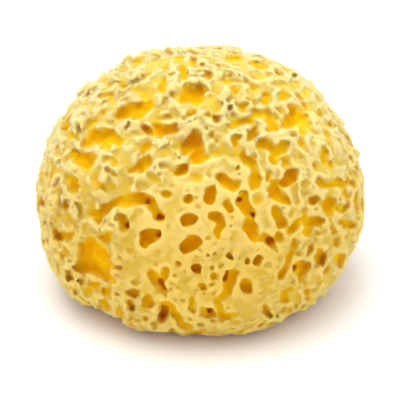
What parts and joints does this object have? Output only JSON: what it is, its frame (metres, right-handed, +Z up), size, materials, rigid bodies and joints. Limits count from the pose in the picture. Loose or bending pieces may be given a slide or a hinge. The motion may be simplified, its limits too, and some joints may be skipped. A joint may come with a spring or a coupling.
{
  "type": "sea sponge",
  "caption": "Rounded natural bath sponge with pitted honeycomb skin, cut off flat below so that it rests on its cut.",
  "frame": {"origin": "middle of the flat cut that the sponge rests on", "axes": "+Z up from the cut, front faces -Y, +X to the right seen from the front"},
  "size_m": [0.1309, 0.1264, 0.0968],
  "materials": {
    "sponge_fibre": "soft matte felt of fine fibres, pale yellow on the skin and amber down in the pores"
  },
  "bodies": {
    "root": {"sponge": "sponge_fibre"}
  },
  "joints": []
}
